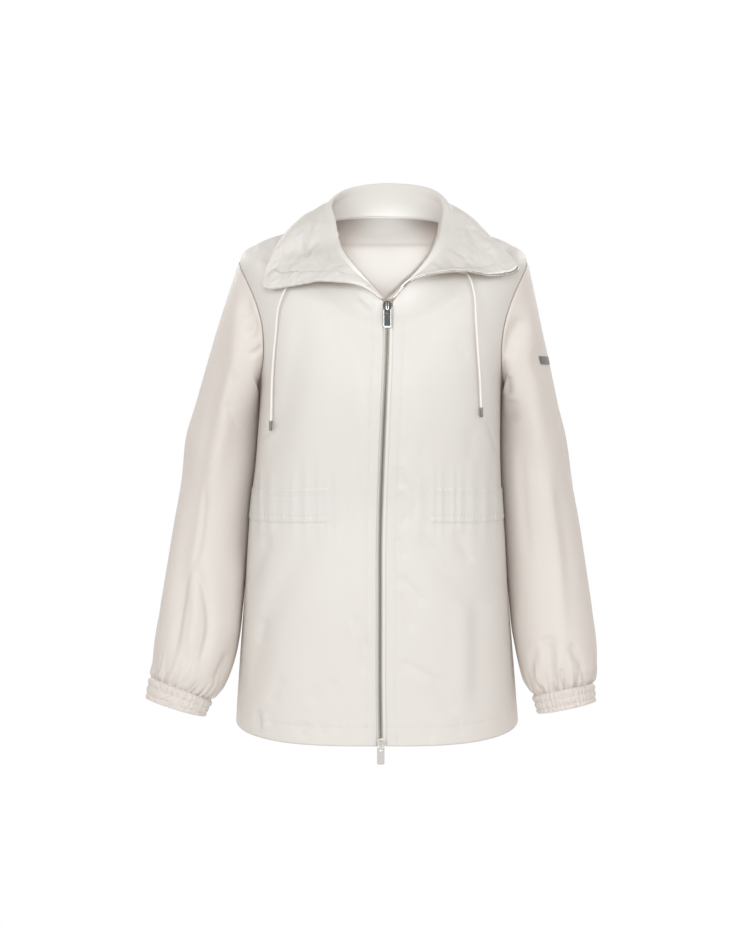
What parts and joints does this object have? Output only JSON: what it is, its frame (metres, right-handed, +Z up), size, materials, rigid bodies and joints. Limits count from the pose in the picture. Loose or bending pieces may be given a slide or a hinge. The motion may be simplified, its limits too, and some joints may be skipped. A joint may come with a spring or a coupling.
{
  "type": "zip jacket with a turned-down funnel collar",
  "caption": "Light cream zip jacket with a turned-down funnel collar, drawcords, gathered waist casing and elastic cuffs, worn and hollow.",
  "frame": {"origin": "middle of the neck opening at the height of the inner ends of the shoulder seams, where the wearer carries the jacket", "axes": "+Z up along the wearer's spine, -Y the way the front faces, +X the wearer's left"},
  "size_m": [0.6253, 0.299, 0.7582],
  "materials": {
    "cloth": "smooth cream woven cloth with a soft sheen",
    "tape": "ribbed woven zip tape",
    "cord": "round braided cord",
    "nickel": "polished nickel plate",
    "plate": "bare dark metal plate"
  },
  "bodies": {
    "jacket": {"front_left": "cloth", "front_right": "cloth", "back": "cloth", "sleeve_left": "cloth", "sleeve_right": "cloth", "cuff_left": "cloth", "cuff_right": "cloth", "collar": "cloth", "facing_left": "cloth", "facing_right": "cloth", "waist_casing_front_left": "cloth", "waist_casing_front_right": "cloth", "waist_casing_back": "cloth", "zip_tape_left": "tape", "zip_tape_right": "tape", "zip_chain": "nickel", "zip_row_left": "nickel", "zip_row_right": "nickel", "slider_upper": "nickel", "bail_upper": "nickel", "slider_lower": "nickel", "bail_lower": "nickel", "cord_left": "cord", "cord_right": "cord", "cord_tip_left": "nickel", "cord_tip_right": "nickel", "eyelet_left": "nickel", "eyelet_right": "nickel", "sleeve_badge": "plate"},
    "upper_pull": {"pull_upper": "nickel"},
    "lower_pull": {"pull_lower": "nickel"}
  },
  "joints": [
    {"name": "upper_pull_swing", "type": "hinge", "parent": "jacket", "child": "upper_pull", "pos_m": [0.0045, -0.11513, -0.10449], "axis": [-1, 0, 0], "range_deg": [0, 120]},
    {"name": "lower_pull_swing", "type": "hinge", "parent": "jacket", "child": "lower_pull", "pos_m": [-0.00351, -0.15475, -0.68567], "axis": [-1, 0, 0], "range_deg": [0, 120]}
  ]
}
